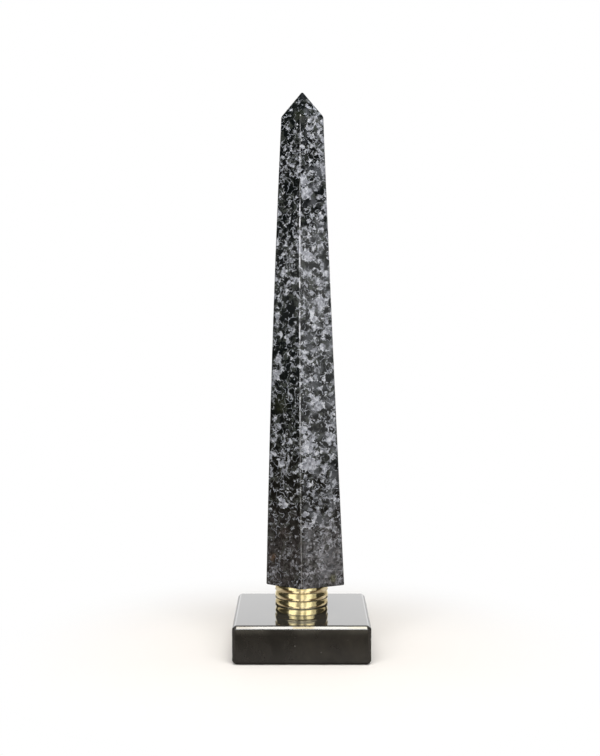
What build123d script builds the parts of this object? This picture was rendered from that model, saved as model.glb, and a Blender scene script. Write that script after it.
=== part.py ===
from build123d import *
import os
from math import cos, pi, radians, sin

# A stone obelisk for a table or shelf: a tapering six-sided shaft with a low pyramid point, on a
# ringed brass neck, on a square block. A threaded rod up the middle draws the three together.
# Millimetres, +Z up, front towards -Y, origin at the centre of the block's underside.

# Square base block
base_width = 100.0
base_height = 28.5
base_chamfer = 2.3

# Brass neck: a collar turned with shallow rings. Each has a straight land, tapers in above it, and
# meets the next one at a step. The collar is cut level at both ends, its foot at the top of a land
neck_diameter = 39.8
neck_height = 22.4
ring_pitch = 6.0
ring_depth = 0.9
land_height = 2.2

# Shaft: a little full in the middle, turned a little from square to the base, its centre line
# drifting to +X towards the foot
shaft_length = 343.0
shaft_turn = 4.8
foot_radius = 32.6
middle_radius = 25.4
shoulder_radius = 17.35
foot_shift = 2.7
middle_shift = 0.75
shoulder_shift = 0.45
edge_rounding = 1.0
foot_bevel = 0.6

# Its section is a hand-ground hexagon, not quite regular: each corner's direction, in degrees
# round from the front one, and its reach as a share of the section's radius
corner_directions = (0.0, 62.4, 121.8, 179.8, 240.8, 302.6)
corner_reaches = (1.0, 1.045, 1.0, 1.0, 1.0, 1.0)

# Pyramid point of the shaft, with its edges barely rounded
point_height = 18.3
shoulder_bevel = 0.6
tip_radius = 1.6
tip_height = 0.9
tip_rounding = 0.4

# Threaded rod with its washer and nut, recessed in the block's underside
rod_diameter = 8.0
rod_clearance = 0.4
rod_embedment = 36.0
rod_hole_spare = 2.0
rod_proud = 0.7
recess_diameter = 25.0
recess_depth = 10.0
washer_diameter = 20.0
washer_thickness = 1.6
nut_side_count = 6
nut_across_flats = 13.0
nut_height = 6.5
nut_bevel = 0.8
thread_gap = 0.1

# Heights that the pieces share
shaft_bottom = base_height + neck_height
shaft_middle = shaft_bottom + shaft_length / 2
shoulder = shaft_bottom + shaft_length
tip = shoulder + point_height
washer_bottom = recess_depth - washer_thickness
nut_bottom = washer_bottom - nut_height
rod_bottom = nut_bottom - rod_proud

rod_hole_radius = rod_diameter / 2 + rod_clearance
threaded_radius = rod_diameter / 2 + thread_gap
nut_corner_radius = nut_across_flats / 2 / cos(pi / nut_side_count)
point_radius = shoulder_radius - shoulder_bevel

os.makedirs("parts", exist_ok=True)


# Base block: chamfered on every edge, bored for the rod, with a recess below for its nut
with BuildPart() as base_block:
    Box(base_width, base_width, base_height, align=(Align.CENTER, Align.CENTER, Align.MIN))
    chamfer(base_block.edges(), length=base_chamfer)
    with Locations(Location((0, 0, 0), (180, 0, 0))):
        CounterBoreHole(
            radius=rod_hole_radius,
            counter_bore_radius=recess_diameter / 2,
            counter_bore_depth=recess_depth,
        )
base_block.part.label = "base_block"


# Brass neck: the outline of the rings turned about the axis, then cut level at block and shaft
neck_radius = neck_diameter / 2
groove_radius = neck_radius - ring_depth
ring_count = int(neck_height / ring_pitch) + 2
rings_bottom = base_height - land_height
neck_outline = [(0, rings_bottom)]
for ring in range(ring_count):
    ring_bottom = rings_bottom + ring * ring_pitch
    neck_outline.append((neck_radius, ring_bottom))
    neck_outline.append((neck_radius, ring_bottom + land_height))
    neck_outline.append((groove_radius, ring_bottom + ring_pitch))
neck_outline.append((0, rings_bottom + ring_count * ring_pitch))
with BuildPart() as brass_neck:
    with BuildSketch(Plane.XZ):
        with BuildLine():
            Polyline(*neck_outline, close=True)
        make_face()
    revolve(axis=Axis.Z)
    split(bisect_by=Plane.XY.offset(shaft_bottom), keep=Keep.BOTTOM)
    split(bisect_by=Plane.XY.offset(base_height), keep=Keep.TOP)
    with Locations((0, 0, shaft_bottom)):
        Hole(radius=rod_hole_radius)
brass_neck.part.label = "brass_neck"


def shaft_section(height, radius, shift, rounding):
    """A level cut through the shaft: its hexagon with barely rounded corners."""
    corners = []
    for direction, reach in zip(corner_directions, corner_reaches):
        turn = radians(direction - shaft_turn)
        corners.append((shift + radius * reach * sin(turn), -radius * reach * cos(turn)))
    with BuildSketch(Plane.XY.offset(height)) as section:
        with BuildLine():
            Polyline(*corners, close=True)
        make_face()
        fillet(section.vertices(), radius=rounding)
    return section.sketch


# Shaft: one piece of stone from its bevelled foot to the point, drilled from below for the rod
foot = shaft_section(shaft_bottom, foot_radius - foot_bevel, foot_shift, edge_rounding)
foot_edge = shaft_section(shaft_bottom + foot_bevel, foot_radius, foot_shift, edge_rounding)
middle = shaft_section(shaft_middle, middle_radius, middle_shift, edge_rounding)
shoulder_edge = shaft_section(shoulder - shoulder_bevel, shoulder_radius, shoulder_shift, edge_rounding)
point_edge = shaft_section(shoulder + shoulder_bevel, point_radius, shoulder_shift, edge_rounding)
blunt = shaft_section(tip - tip_height, tip_radius, shoulder_shift, tip_rounding)
top = shaft_section(tip, tip_radius / 2, shoulder_shift, tip_rounding)
with BuildPart() as shaft:
    loft(sections=[foot, foot_edge], ruled=True)
    loft(sections=[foot_edge, middle, shoulder_edge])
    loft(sections=[shoulder_edge, point_edge, blunt, top], ruled=True)
    with Locations(Location((0, 0, shaft_bottom), (180, 0, 0))):
        Hole(radius=rod_hole_radius, depth=rod_embedment + rod_hole_spare)
shaft.part.label = "shaft"


# Threaded rod: up through block and neck into the shaft
with BuildPart() as tie_rod:
    with BuildSketch(Plane.XY.offset(rod_bottom)):
        Circle(radius=rod_diameter / 2)
    extrude(amount=shaft_bottom + rod_embedment - rod_bottom)
tie_rod.part.label = "tie_rod"


# Washer against the roof of the recess
with BuildPart() as rod_washer:
    with BuildSketch(Plane.XY.offset(washer_bottom)):
        Circle(radius=washer_diameter / 2)
        Circle(radius=rod_hole_radius, mode=Mode.SUBTRACT)
    extrude(amount=washer_thickness)
rod_washer.part.label = "rod_washer"


# Nut under the washer: a bevelled round blank cut to a hexagon, so its corners are taken off
with BuildPart() as rod_nut:
    with BuildSketch(Plane.XY.offset(nut_bottom)):
        Circle(radius=nut_corner_radius)
    extrude(amount=nut_height)
    chamfer(rod_nut.edges().filter_by(GeomType.CIRCLE), length=nut_bevel)
    with BuildSketch(Plane.XY.offset(nut_bottom)):
        RegularPolygon(radius=nut_across_flats / 2, side_count=nut_side_count, major_radius=False)
        Circle(radius=threaded_radius, mode=Mode.SUBTRACT)
    extrude(amount=nut_height, mode=Mode.INTERSECT)
rod_nut.part.label = "rod_nut"


for piece in (base_block, brass_neck, shaft, tie_rod, rod_washer, rod_nut):
    export_step(piece.part, "parts/" + piece.part.label + ".step")
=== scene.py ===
"""Looks of a tabletop stone obelisk: a polished mottled shaft on a ringed brass neck and a black block."""
import math

import bpy
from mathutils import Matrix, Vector

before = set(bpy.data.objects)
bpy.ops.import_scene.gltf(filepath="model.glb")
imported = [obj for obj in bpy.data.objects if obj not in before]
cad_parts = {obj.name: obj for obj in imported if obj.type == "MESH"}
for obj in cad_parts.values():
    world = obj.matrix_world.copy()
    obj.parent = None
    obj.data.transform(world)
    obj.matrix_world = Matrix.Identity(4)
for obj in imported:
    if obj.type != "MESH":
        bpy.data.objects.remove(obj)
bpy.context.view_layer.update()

# Lengths are in metres and angles in degrees, unless a comment says otherwise


# ---- Node graphs -------------------------------------------------------------------------------


class Graph:
    """Builds a shader's nodes with short calls."""

    def __init__(self, owner):
        owner.use_nodes = True
        self.tree = owner.node_tree
        self.tree.nodes.clear()

    def put(self, socket, value):
        """Links a socket to another one, or sets its value."""
        if isinstance(value, bpy.types.NodeSocket):
            self.tree.links.new(value, socket)
        elif hasattr(value, "__len__") and len(socket.default_value) == 4:
            socket.default_value = (*value, 1)
        else:
            socket.default_value = value

    def fill(self, node, *values):
        """Puts the values into the node's first sockets, in order."""
        for socket, value in zip(node.inputs, values):
            self.put(socket, value)
        return node

    def node(self, kind, **inputs):
        """A node of that kind; inputs are named as on the node, with _ for a space."""
        node = self.tree.nodes.new("ShaderNode" + kind)
        for key, value in inputs.items():
            self.put(node.inputs[key.replace("_", " ")], value)
        return node

    def finish(self, shader, output="OutputMaterial"):
        """Sends the shader to the graph's output."""
        self.put(self.node(output).inputs["Surface"], shader.outputs[0])

    def operate(self, kind, operation, values):
        """A Math or Vector Math node that does the operation on the values."""
        node = self.node(kind)
        node.operation = operation
        return self.fill(node, *values)

    def calc(self, operation, *values):
        """A Math node's result."""
        return self.operate("Math", operation, values).outputs[0]

    def vector(self, operation, *values):
        """A Vector Math node's vector."""
        return self.operate("VectorMath", operation, values).outputs[0]

    def measure(self, operation, *values):
        """A Vector Math node's number."""
        return self.operate("VectorMath", operation, values).outputs["Value"]

    def product(self, first, *others):
        """All the values multiplied."""
        for other in others:
            first = self.calc("MULTIPLY", first, other)
        return first

    def add_part(self, value, share, base):
        """A share of the value, added to the base."""
        return self.calc("MULTIPLY_ADD", value, share, base)

    def step(self, value, low, high, first=0.0, last=1.0):
        """Goes smoothly from first to last as the value goes from low to high."""
        node = self.node("MapRange")
        node.interpolation_type = "SMOOTHSTEP"
        return self.fill(node, value, low, high, first, last).outputs[0]

    def ramp(self, value, stops):
        """A colour that goes from stop to stop with the value; each is a position and a colour."""
        node = self.node("ValToRGB", Fac=value)
        elements = node.color_ramp.elements
        while len(elements) < len(stops):
            elements.new(0.5)
        for element, (position, colour) in zip(elements, stops):
            element.position = position
            element.color = (*colour, 1)
        return node.outputs["Color"]

    def mix(self, factor, first, second):
        """A colour between first and second."""
        node = self.node("Mix")
        node.data_type = "RGBA"
        for socket, value in ((0, factor), (6, first), (7, second)):
            self.put(node.inputs[socket], value)
        return node.outputs[2]

    def split(self, vector):
        """The vector's X, Y and Z."""
        return self.node("SeparateXYZ", Vector=vector).outputs

    def flat(self, vector):
        """The vector with its Z taken out."""
        parts = self.split(vector)
        return self.node("CombineXYZ", X=parts["X"], Y=parts["Y"]).outputs[0]

    def noise(self, place, scale, detail=2.0, roughness=0.5, output="Fac"):
        """A soft random pattern."""
        node = self.node("TexNoise", Vector=place, Scale=scale, Detail=detail, Roughness=roughness)
        return node.outputs[output]

    def bend(self, place, scale, amount):
        """The place, moved about by a noise."""
        wander = self.vector("SUBTRACT", self.noise(place, scale, output="Color"), (0.5, 0.5, 0.5))
        return self.vector("MULTIPLY_ADD", wander, (amount, amount, amount), place)

    def cells(self, place, scale):
        """Random cells: their distance, colour and place."""
        return self.node("TexVoronoi", Vector=place, Scale=scale).outputs

    def chances(self, cells):
        """Three random numbers for each of the cells."""
        return self.node("SeparateColor", Color=cells["Color"]).outputs

    def relief(self, height, strength, distance):
        """The normal of a surface raised by that height."""
        return self.node("Bump", Strength=strength, Distance=distance, Height=height).outputs[0]


def new_material(name):
    """A material with its empty graph."""
    material = bpy.data.materials.new(name)
    return material, Graph(material)


# ---- The shaft's stone -------------------------------------------------------------------------

# Heights between which the finish changes. Foot and point start, each from nothing to full. Wear
# of the edges is faint at the foot, grows above it, fades near the top and ends at the point
FOOT_STARTS = (0.145, 0.100)
POINT_STARTS = (0.384, 0.392)
WEAR_GROWS = (0.150, 0.200)
WEAR_FADES = (0.328, 0.340)
WEAR_ENDS = (0.386, 0.392)

# Distances across between which the left side turns to the right side, paler partly in its stone and partly
# as a painted reflection haze
SIDE_TURNS = (-0.002, 0.005)

# How far a normal turns from a face's where its rounded edge starts, and is full, as cosines
EDGE_TURNS = (math.cos(math.radians(7)), math.cos(math.radians(16)))

# Colours. A ramp's stops are its positions and colours: dark crystals go with the grit, pale ones
# with the shade
DARK_CRYSTALS = (
    (0.60, (0.002, 0.003, 0.003)),
    (0.69, (0.005, 0.006, 0.006)),
    (0.75, (0.019, 0.021, 0.020)),
    (0.79, (0.055, 0.058, 0.056)),
)
PALE_CRYSTALS = (
    (0.42, (0.098, 0.103, 0.120)),
    (0.75, (0.205, 0.214, 0.245)),
    (1.05, (0.42, 0.435, 0.480)),
)
GREENISH = (0.036, 0.040, 0.036)
THREADS = (0.26, 0.275, 0.31)
# Painted reflection haze of the polish, laid over parts of the right side
PAINTED_HAZE = (0.135, 0.142, 0.160)
# The foot's cloud: dark on the left, and paler on the right partly as painted reflection haze
LEFT_FOOT = (0.054, 0.049, 0.051)
RIGHT_FOOT = (0.140, 0.135, 0.143)
WORN_EDGE = (0.52, 0.53, 0.58)

# Larger features of the stone's front: height and distance across, radius, all in millimetres, and
# how much paler or darker they are
FRONT_MARKS = (
    (250, -10, 7, -0.40), (347, 2, 4.5, 0.25), (338, 3, 5, 0.30), (186, 11, 6, 0.25),
    (165, 3, 4.5, 0.20), (154, 4, 5, 0.22), (143, 5, 5, 0.22), (119, -22, 4.5, -0.25),
    (101, -21, 4.5, -0.20), (101, -3, 3, -0.35), (93, -3, 3, -0.35), (86, -4, 3, -0.35),
    (161, 21, 6, 0.20), (112, -14, 4, 0.20), (218, -16, 4.5, 0.16), (205, -18, 5, 0.16),
    (292, 5, 5, 0.20), (281, 15, 4.5, 0.14), (250, 6, 6, 0.18), (226, 12, 6, 0.20),
    (217, 14, 4, -0.30), (250, -18, 3.5, 0.20), (282, -14, 4, 0.16), (329, 10, 5, -0.25),
    (343, -9, 6, -0.18), (358, -7, 2, 0.30), (185, -16, 8, -0.12),
    (396, 1, 6, -0.12), (388, 9, 6, 0.08),
)

# Places of another colour on the front: height and distance across, radius, all in millimetres, and
# the colour
FRONT_TINTS = (
    (72, -21, 3.5, (0.085, 0.052, 0.030)),
    (57, 23, 3.5, (0.075, 0.075, 0.025)),
    (185, -16, 8, (0.022, 0.024, 0.014)),
    (90, -12, 6, (0.036, 0.028, 0.026)),
    (395, -2, 5, (0.012, 0.014, 0.006)),
)


def face_directions(obj):
    """The level directions in which the shaft's six long faces look, from its mesh."""
    same_face = 3  # Normals are gathered by steps of this angle
    upright = 0.2  # Faces whose normal rises less are the shaft's sides
    faces = {}
    for polygon in obj.data.polygons:
        if abs(polygon.normal.z) < upright:
            level = Vector(polygon.normal[:2])
            key = round(math.degrees(math.atan2(level.y, level.x)) / same_face)
            faces.setdefault(key, [0.0, Vector((0, 0))])
            faces[key][0] += polygon.area
            faces[key][1] += level.normalized() * polygon.area
    largest = sorted(faces.values(), key=lambda face: -face[0])[:6]
    return [direction.normalized() for area, direction in largest]


def on_front(obj, height, across):
    """The point of the object's front at that height and distance across, in millimetres."""
    start = (across / 1000, -1.0, height / 1000)
    return tuple(obj.ray_cast(start, (0, 1, 0))[1])


def placed(obj, features):
    """The features of the front, each as its centre and radius in metres, and what it changes."""
    return [
        (on_front(obj, height, across), radius / 1000, change)
        for height, across, radius, change in features
    ]


def near(graph, place, centre, radius):
    """1 close to the centre, falling softly to 0 round it."""
    return graph.step(graph.measure("DISTANCE", place, centre), radius * 1.2, radius * 0.4)


def worn_edges(graph, place, normal, directions):
    """How worn the ground edges are: most at the front corner, and only here and there."""
    step = graph.step
    level = graph.vector("NORMALIZE", graph.flat(normal))
    facing = 0.0
    for direction in directions:
        along = graph.measure("DOT_PRODUCT", level, (direction.x, direction.y, 0.0))
        facing = graph.calc("MAXIMUM", along, facing)
    scuffs = step(graph.noise(place, 150.0, 4.0, 0.7), 0.42, 0.60)
    steepness = graph.calc("ABSOLUTE", graph.split(normal)["Z"])
    height = graph.split(place)["Z"]
    return graph.product(
        step(facing, *EDGE_TURNS),
        graph.add_part(scuffs, 0.85, 0.06),
        step(steepness, 0.97, 0.9),
        step(graph.split(level)["Y"], -0.90, -0.96, 0.25, 1.0),
        step(height, *WEAR_GROWS, 0.22, 1.0),
        step(height, *WEAR_FADES, 1.0, 0.30),
        step(height, *WEAR_ENDS, 1.0, 0.0),
    )


def shaft_stone(obj):
    """Ragged pale patches and threads over black and greenish crystals, worn at the edges."""
    material, graph = new_material("mottled_stone")
    add_part, calc, mix, noise, step = graph.add_part, graph.calc, graph.mix, graph.noise, graph.step
    coordinates = graph.node("TexCoord").outputs
    place = coordinates["Object"]
    parts = graph.split(place)
    bent = graph.bend(graph.bend(place, 260.0, 0.0034), 950.0, 0.0009)

    # Zones: the side to the right is paler, partly in its stone and partly as a painted reflection haze;
    # the foot is dull and finer grained, the point is dark
    paler_side_and_haze = step(parts["X"], *SIDE_TURNS)
    broad = noise(place, 65.0)
    foot = step(add_part(broad, 0.05, parts["Z"]), *FOOT_STARTS)
    point = step(parts["Z"], *POINT_STARTS)

    # The higher the field, the paler the stone: coarse clusters, small grains at the foot, and a
    # few of those on the left side
    coarse = graph.chances(graph.cells(bent, 320.0))
    fine = graph.chances(graph.cells(bent, 620.0))
    clusters = noise(bent, 210.0, 3.0, 0.6)
    grains = noise(bent, 340.0, 3.0, 0.65)
    field = add_part(fine[0], 0.12, add_part(coarse[0], 0.30, clusters))
    small = calc("ADD", add_part(fine[1], 0.26, grains), 0.06)
    finer = calc("MAXIMUM", calc("MULTIPLY", foot, 0.7), step(paler_side_and_haze, 0.0, 1.0, 0.25, 0.03))
    field = add_part(calc("SUBTRACT", small, field), finer, field)
    # The right side's field is raised a little: partly its stone, partly painted reflection haze
    field = add_part(paler_side_and_haze, 0.020, calc("ADD", field, -0.012))
    field = add_part(point, -0.07, field)
    field = add_part(broad, 0.20, calc("ADD", field, -0.10))
    for centre, radius, lift in placed(obj, FRONT_MARKS):
        field = add_part(near(graph, bent, centre, radius), lift, field)

    # Dark crystals, black or greenish, with fine grit
    grit = add_part(noise(place, 1150.0), 0.24, calc("ADD", field, -0.12))
    greenish = graph.product(step(coarse[1], 0.78, 0.82), 0.8, step(grit, 0.50, 0.75, 0.45, 1.0))
    dark = mix(greenish, graph.ramp(grit, DARK_CRYSTALS), GREENISH)

    # Pale crystals cover them where the field is high
    shade = add_part(fine[2], 0.5, noise(bent, 480.0))
    cover = step(field, 0.790, 0.802)
    colour = mix(cover, dark, graph.ramp(shade, PALE_CRYSTALS))

    # Thin threads cross the dark crystals, here and there
    ridge = calc("ABSOLUTE", calc("SUBTRACT", noise(bent, 200.0, 1.0), 0.5))
    here_and_there = step(noise(place, 170.0), 0.43, 0.50)
    thread = graph.product(step(ridge, 0.026, 0.008), here_and_there, step(shade, 0.45, 0.95, 0.45, 1.0))
    colour = mix(thread, colour, THREADS)

    # A painted reflection haze over parts of the paler side, a cloud over the foot that is paler on the
    # right partly as painted haze, and the front's tinted places
    painted_haze = calc("MULTIPLY", paler_side_and_haze, step(noise(place, 110.0), 0.46, 0.70, 0.0, 0.36))
    colour = mix(painted_haze, colour, PAINTED_HAZE)
    cloud = calc("MULTIPLY", foot, step(grains, 0.35, 0.62, 0.10, 0.58))
    colour = mix(cloud, colour, mix(paler_side_and_haze, LEFT_FOOT, RIGHT_FOOT))
    for centre, radius, tint in placed(obj, FRONT_TINTS):
        stain = calc("MULTIPLY", near(graph, bent, centre, radius), step(grains, 0.35, 0.6, 0.15, 0.6))
        colour = mix(stain, colour, tint)

    # The ground edges are whitish and less polished
    worn = worn_edges(graph, place, coordinates["Normal"], face_directions(obj))
    graph.finish(graph.node(
        "BsdfPrincipled",
        Base_Color=mix(worn, colour, WORN_EDGE),
        Roughness=add_part(worn, 0.30, add_part(grains, 0.06, 0.03)),
        IOR=1.55,
        Normal=graph.relief(calc("MULTIPLY", fine[1], cover), 0.06, 0.0002),
    ))
    return material


# ---- The other materials -----------------------------------------------------------------------

# Colours of the black stone's clouds; towards the right a painted reflection moves them to the paler stops
BLACK_CLOUDS = (
    (0.30, (0.010, 0.010, 0.009)),
    (0.60, (0.019, 0.018, 0.016)),
    (0.85, (0.028, 0.026, 0.022)),
)
SPECKS = (0.13, 0.13, 0.12)

# Distances from the neck's axis between which a groove's tarnish comes in, and a crest's shine
GROOVE_STARTS = (0.01917, 0.01903)
CREST_STARTS = (0.01978, 0.01990)

BRASS_STAINS = (
    (0.30, (0.80, 0.64, 0.30)),
    (0.50, (0.90, 0.76, 0.40)),
    (0.75, (0.94, 0.83, 0.50)),
)
TARNISH = (0.30, 0.21, 0.09)
WORN_BRASS = (0.97, 0.90, 0.70)

ZINC_PATCHES = (
    (0.35, (0.38, 0.38, 0.36)),
    (0.65, (0.58, 0.58, 0.56)),
    (0.95, (0.72, 0.72, 0.71)),
)


def black_stone():
    """Nearly black stone with faint warm clouds, a few tiny pale specks and smears in its polish, and a
    painted reflection that makes it paler towards the right.
    """
    material, graph = new_material("black_stone")
    place = graph.node("TexCoord").outputs["Object"]
    # Painted reflection: the stone turns paler towards the right
    painted_reflection_right = graph.step(graph.split(place)["X"], -0.05, 0.05)
    clouds = graph.noise(graph.bend(place, 30.0, 0.03), 70.0, 5.0, 0.65)
    colour = graph.ramp(graph.add_part(painted_reflection_right, 0.22, clouds), BLACK_CLOUDS)
    specks = graph.cells(place, 210.0)
    rare = graph.step(graph.chances(specks)[0], 0.93, 0.94)
    speck = graph.calc("MULTIPLY", graph.step(specks["Distance"], 0.14, 0.06), rare)
    smears = graph.noise(graph.bend(place, 25.0, 0.04), 40.0, 4.0, 0.7)
    graph.finish(graph.node(
        "BsdfPrincipled",
        Base_Color=graph.mix(speck, colour, SPECKS),
        Roughness=graph.step(smears, 0.35, 0.75, 0.025, 0.08),
        IOR=1.55,
    ))
    return material


def turned_marks(graph, place, pitch):
    """Fine rings left by the tool, as a height."""
    up = graph.calc("MULTIPLY", graph.split(place)["Z"], 1 / pitch)
    return graph.noise(graph.node("CombineXYZ", Z=up).outputs[0], 1.0, 3.0, 0.6)


def polished_brass():
    """Brass with turning marks, tarnish in its grooves and worn crests."""
    material, graph = new_material("polished_brass")
    calc, mix, step = graph.calc, graph.mix, graph.step
    place = graph.node("TexCoord").outputs["Object"]
    reach = graph.measure("LENGTH", graph.flat(place))
    stains = graph.noise(graph.bend(place, 120.0, 0.01), 260.0, 4.0, 0.65)
    groove = step(reach, *GROOVE_STARTS)
    crest = step(reach, *CREST_STARTS)
    tarnish = calc("MULTIPLY", groove, step(stains, 0.30, 0.60, 0.55, 0.25))
    colour = mix(tarnish, graph.ramp(stains, BRASS_STAINS), TARNISH)
    graph.finish(graph.node(
        "BsdfPrincipled",
        Base_Color=mix(calc("MULTIPLY", crest, 0.5), colour, WORN_BRASS),
        Roughness=graph.add_part(groove, 0.10, step(stains, 0.35, 0.70, 0.10, 0.15)),
        Metallic=1.0,
        Normal=graph.relief(turned_marks(graph, place, 0.0003), 0.06, 0.0001),
    ))
    return material


def zinc_steel():
    """Zinc plate: faint crystals, scratches and dull patches."""
    material, graph = new_material("zinc_steel")
    place = graph.node("TexCoord").outputs["Object"]
    crystals = graph.chances(graph.cells(graph.bend(place, 300.0, 0.002), 420.0))[0]
    dull = graph.noise(place, 180.0, 4.0, 0.7)
    graph.finish(graph.node(
        "BsdfPrincipled",
        Base_Color=graph.ramp(graph.add_part(crystals, 0.25, dull), ZINC_PATCHES),
        Roughness=graph.step(dull, 0.30, 0.75, 0.25, 0.52),
        Metallic=1.0,
        Normal=graph.relief(turned_marks(graph, place, 0.0004), 0.2, 0.0001),
    ))
    return material


# ---- Pieces ------------------------------------------------------------------------------------

BLOCK_ROUNDING = 0.0009
NECK_ROUNDING = 0.00012


def dress(node, material):
    """Gives the CAD node that material alone."""
    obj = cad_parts[node]
    obj.data.materials.clear()
    obj.data.materials.append(material)
    return obj


def round_edges(obj, width):
    """Polished edges are never quite sharp."""
    obj.modifiers.new("joined_faces", "WELD").merge_threshold = 1e-6
    bevel = obj.modifiers.new("polished_edges", "BEVEL")
    bevel.width = width
    bevel.segments = 4
    bevel.limit_method = "ANGLE"
    bevel.angle_limit = math.radians(30)
    bevel.harden_normals = True


dress("shaft", shaft_stone(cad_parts["shaft"]))
round_edges(dress("base_block", black_stone()), BLOCK_ROUNDING)
round_edges(dress("brass_neck", polished_brass()), NECK_ROUNDING)
steel = zinc_steel()
for node in ("tie_rod", "rod_washer", "rod_nut"):
    dress(node, steel)


# ---- Floor and world ---------------------------------------------------------------------------

WHITE = (1, 1, 1)
PALE_FLOOR = (0.56, 0.54, 0.52)
FLOOR_HALF = 6.0

# Distances from the middle between which the floor the camera sees turns white
FLOOR_TURNS_WHITE = (0.07, 0.24)

# The floor as it lights the object and shows in its polish: dark in front, as the photo's table
# is, greyer further back, with a pale sheen between object and camera
TABLE_FRONT = (0.07, 0.05, 0.032)
TABLE_MIDDLE = (0.21, 0.185, 0.165)
TABLE_BACK = (0.36, 0.34, 0.33)
TABLE_SHEEN = (0.62, 0.57, 0.46)

# Darker dips in the sheen: their middle, as x over y, and their depth
SHEEN_DIPS = ((0.11, 0.85), (-0.18, 0.6))

# The world's strength: what mirrors see of it in front, and what diffuse light has in addition
ROOM_DARK = 0.04
ROOM_LIGHT = 0.28


def mirror_rays(graph, seen):
    """1 for a ray that comes from a polished surface or through glass."""
    return graph.calc("MAXIMUM", seen["Is Glossy Ray"], seen["Is Transmission Ray"])


def floor_colour(graph, seen, back, slant):
    """Pale to the camera, and a table's tones to everything else."""
    calc, mix, step = graph.calc, graph.mix, graph.step
    table = mix(step(back, -0.12, -0.06), TABLE_FRONT, TABLE_MIDDLE)
    table = mix(step(back, 0.0, 0.08), table, TABLE_BACK)
    sheen = calc("MULTIPLY", step(calc("ABSOLUTE", slant), 0.82, 0.55), step(back, -0.125, -0.150))
    for middle, depth in SHEEN_DIPS:
        apart = calc("ABSOLUTE", calc("SUBTRACT", slant, middle))
        dip = step(apart, 0.12, 0.04, 0.0, depth)
        sheen = calc("MULTIPLY", sheen, calc("SUBTRACT", 1.0, dip))
    table = mix(sheen, table, TABLE_SHEEN)
    return mix(seen["Is Camera Ray"], table, PALE_FLOOR)


def make_floor():
    """A plain pale floor with the object's shadow, white further off and, behind, to mirrors."""
    corners = [(x * FLOOR_HALF, y * FLOOR_HALF, 0) for x, y in ((-1, -1), (1, -1), (1, 1), (-1, 1))]
    mesh = bpy.data.meshes.new("floor")
    mesh.from_pydata(corners, [], [(0, 1, 2, 3)])
    floor = bpy.data.objects.new("floor", mesh)
    bpy.context.scene.collection.objects.link(floor)

    material, graph = new_material("pale_floor")
    calc, step = graph.calc, graph.step
    seen = graph.node("LightPath").outputs
    place = graph.node("TexCoord").outputs["Object"]
    parts = graph.split(place)
    back = parts["Y"]
    slant = calc("DIVIDE", parts["X"], back)
    shadowed = graph.node("BsdfDiffuse", Color=floor_colour(graph, seen, back, slant))
    white = graph.node("Emission", Color=WHITE, Strength=1.0)
    fade = calc("MULTIPLY", step(graph.measure("LENGTH", place), *FLOOR_TURNS_WHITE), seen["Is Camera Ray"])
    behind = calc("MULTIPLY", step(back, 0.15, 0.18), step(calc("ABSOLUTE", slant), 0.75, 0.50))
    mirrored = calc("MULTIPLY", behind, mirror_rays(graph, seen))
    whiteness = calc("MAXIMUM", fade, mirrored)
    graph.finish(graph.fill(graph.node("MixShader"), whiteness, shadowed.outputs[0], white.outputs[0]))
    floor.data.materials.append(material)


def make_world():
    """White to the camera and, behind the object, to mirrors. Otherwise a dim room."""
    world = bpy.data.worlds.new("studio")
    bpy.context.scene.world = world
    graph = Graph(world)
    seen = graph.node("LightPath").outputs
    towards = graph.split(graph.node("TexCoord").outputs["Generated"])["Y"]
    behind = graph.calc("MULTIPLY", mirror_rays(graph, seen), graph.step(towards, 0.80, 0.95))
    white = graph.calc("MAXIMUM", seen["Is Camera Ray"], behind)
    room = graph.add_part(seen["Is Diffuse Ray"], ROOM_LIGHT, ROOM_DARK)
    level = graph.calc("MAXIMUM", white, room)
    graph.finish(graph.node("Background", Color=WHITE, Strength=level), "OutputWorld")


# ---- Lamps -------------------------------------------------------------------------------------

# Panels stand this far from the object, and tilted ones face this height on it
ROOM_RADIUS = 2.0
NECK_HEIGHT = 0.04

# Upright bands of light round the front, from angle to angle: their bottom, top and radiance.
# The tall ones are higher up
LOW_BANDS = (
    (-75, -62, 0.30, 0.50, 0.12), (-62, -56, 0.30, 0.50, 0.60), (-56, -42, 0.10, 0.50, 1.35),
    (-42, -26, 0.02, 0.53, 1.35), (-26, -21, 0.02, 1.5, 0.75), (-21, -9, 0.02, 1.5, 0.32),
    (-9, -3, 0.02, 1.5, 0.40), (-3, 9, 0.02, 1.5, 1.15), (9, 21, 0.02, 1.5, 0.65),
    (21, 38, 0.02, 0.53, 1.45), (38, 43, 0.02, 0.50, 1.20), (43, 50, 0.34, 0.54, 0.80),
    (43, 66, 0.02, 0.34, 0.50), (50, 67, 0.34, 0.50, 0.40),
)
TALL_BANDS = {"tall_left": (-61, -26, 0.80, 1.5, 1.6), "tall_right": (21, 61, 0.80, 1.5, 1.4)}

# Tilted bands above them, from angle to angle: their radiance, then the angles up that they span
HIGH_BANDS = (
    (-62, -53, 1.8), (-53, -34, 3.5), (-34, -26, 2.0), (-26, -10, 0.55), (-10, -2, 1.5),
    (-2, 9, 2.8), (9, 20, 0.8), (20, 26, 1.9), (26, 48, 3.8), (48, 58, 2.4), (58, 66, 1.1),
)
HIGH_RISE = (36, 53)

# Other tilted panels: angle to angle round, angle to angle up, and radiance
SOFTBOXES = {
    "top_left": (-45, -3, 56, 69, 17.0),
    "top_right": (-1, 45, 56, 69, 17.0),
    "side_left": (-138, -98, 39, 49, 3.0),
    "side_right": (98, 138, 39, 49, 3.0),
}

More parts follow.
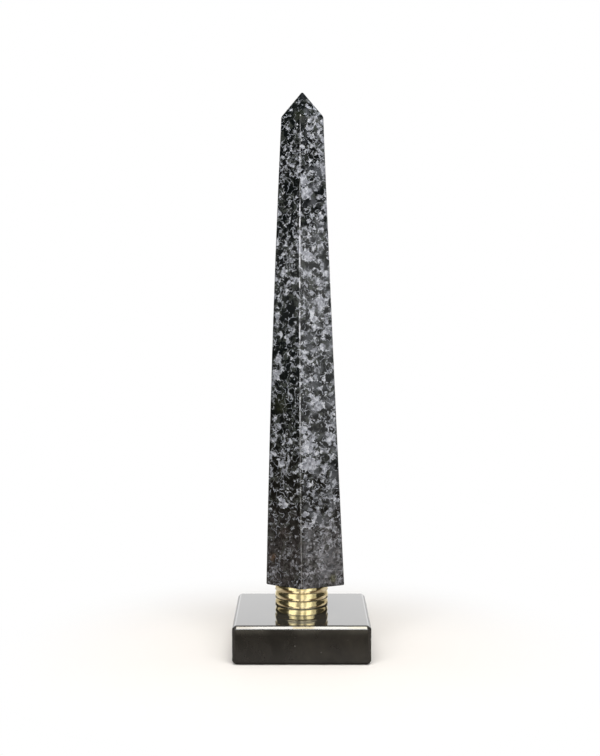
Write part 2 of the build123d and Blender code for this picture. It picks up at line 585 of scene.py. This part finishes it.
# Panels overhead, which the block's front chamfer mirrors: from x to x, radiance and colour, then
# y and z of their place and of what they face
OVERHEAD = (
    (-0.125, -0.082, 17.0, (1.0, 0.94, 0.83)), (-0.082, -0.014, 20.0, (1.0, 0.98, 0.92)),
    (-0.014, 0.022, 18.0, (1.0, 0.87, 0.58)), (0.022, 0.082, 20.5, (1.0, 0.98, 0.91)),
    (0.082, 0.17, 20.0, (1.0, 0.96, 0.80)),
)
OVERHEAD_PLACE = (-0.36, 1.25)
OVERHEAD_TARGET = (-0.1, 0.0)
OVERHEAD_DEPTH = 0.24

# The panel behind the object: its distance, the height of its middle, its sides and its radiance
BACK_DISTANCE = 5.0
BACK_HEIGHT = 2.35
BACK_SIDES = (5.4, 4.7)
BACK_RADIANCE = 1.0


def area_light(name, place, target, sides, radiance, colour=WHITE):
    """A soft light panel with those sides and that radiance, facing its target."""
    light = bpy.data.lights.new(name, "AREA")
    light.shape = "RECTANGLE"
    light.size, light.size_y = sides
    light.energy = math.pi * sides[0] * sides[1] * radiance
    light.color = colour
    panel = bpy.data.objects.new(name, light)
    panel.location = place
    panel.rotation_euler = (Vector(target) - Vector(place)).to_track_quat("-Z", "Y").to_euler()
    panel.visible_camera = False
    bpy.context.scene.collection.objects.link(panel)


def around(degrees, distance, height):
    """A place at that angle to the right of the front, seen from above."""
    turn = math.radians(degrees)
    return (distance * math.sin(turn), -distance * math.cos(turn), height)


def span(degrees):
    """The side of a panel that takes up that angle."""
    return 2 * ROOM_RADIUS * math.tan(math.radians(degrees / 2))


def window(name, first, last, bottom, top, radiance):
    """An upright panel, from one angle round the object to another."""
    middle = around((first + last) / 2, ROOM_RADIUS, (bottom + top) / 2)
    area_light(name, middle, (0, 0, middle[2]), (span(last - first), top - bottom), radiance)


def softbox(name, first, last, low, high, radiance):
    """A tilted panel, from one angle round and one angle up to another."""
    rise = math.radians((low + high) / 2)
    middle = around((first + last) / 2, ROOM_RADIUS * math.cos(rise), ROOM_RADIUS * math.sin(rise))
    sides = (span((last - first) * math.cos(rise)), span(high - low))
    area_light(name, middle, (0, 0, NECK_HEIGHT), sides, radiance)


def make_lights():
    """Plain soft panels, placed so that brass and polish mirror bands as in the photo."""
    for first, last, bottom, top, radiance in LOW_BANDS:
        window(f"low_{first}_{last}", first, last, bottom, top, radiance)
    for first, last, radiance in HIGH_BANDS:
        softbox(f"high_{first}", first, last, *HIGH_RISE, radiance)
    for name, band in TALL_BANDS.items():
        window(name, *band)
    for name, box in SOFTBOXES.items():
        softbox(name, *box)
    for first, last, radiance, colour in OVERHEAD:
        middle = (first + last) / 2
        place = (middle, *OVERHEAD_PLACE)
        target = (middle, *OVERHEAD_TARGET)
        area_light(f"overhead_{first}", place, target, (last - first, OVERHEAD_DEPTH), radiance, colour)
    place = (0, BACK_DISTANCE, BACK_HEIGHT)
    area_light("back_panel", place, (0, 0, BACK_HEIGHT), BACK_SIDES, BACK_RADIANCE)


# ---- Camera ------------------------------------------------------------------------------------

CAMERA_PLACE = (-0.0012, -0.9497, 0.2749)
CAMERA_LOOKS_DOWN = 4.33
LENS_MM = 60.97
SENSOR_MM = 36


def make_camera():
    """The camera that was fitted to the photo."""
    data = bpy.data.cameras.new("camera")
    data.lens = LENS_MM
    data.sensor_width = SENSOR_MM
    camera = bpy.data.objects.new("camera", data)
    camera.location = CAMERA_PLACE
    camera.rotation_euler = (math.radians(90 - CAMERA_LOOKS_DOWN), 0, 0)
    bpy.context.scene.collection.objects.link(camera)
    bpy.context.scene.camera = camera


make_floor()
make_lights()
make_world()
make_camera()
bpy.context.scene.view_settings.view_transform = "Standard"
